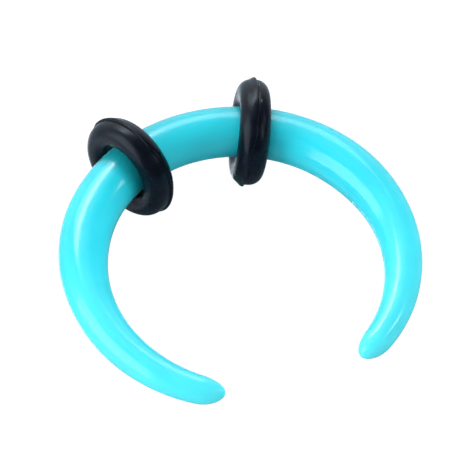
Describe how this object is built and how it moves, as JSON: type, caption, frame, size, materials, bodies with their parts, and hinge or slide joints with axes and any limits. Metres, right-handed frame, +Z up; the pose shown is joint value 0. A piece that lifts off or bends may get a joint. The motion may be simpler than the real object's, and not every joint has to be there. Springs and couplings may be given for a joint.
{
  "type": "crescent ear pincher with O-rings",
  "caption": "Round acrylic crescent with tapered, rounded tips, worn through a stretched earlobe and kept in place by two rubber O-rings.",
  "frame": {"origin": "on the table that the pincher rests on, under the middle of its outer box", "axes": "+Z up from the table; +Y from the open side between the tips towards the thick middle; +X from the left O-ring towards the right one, across the widest part"},
  "size_m": [0.028, 0.0266, 0.0087],
  "materials": {
    "crescent_acrylic": "polished, opaque turquoise acrylic with a soft depth",
    "o_ring_rubber": "satin black rubber with a moulding seam"
  },
  "bodies": {
    "root": {"crescent": "crescent_acrylic", "o_ring_left": "o_ring_rubber", "o_ring_right": "o_ring_rubber"}
  },
  "joints": []
}
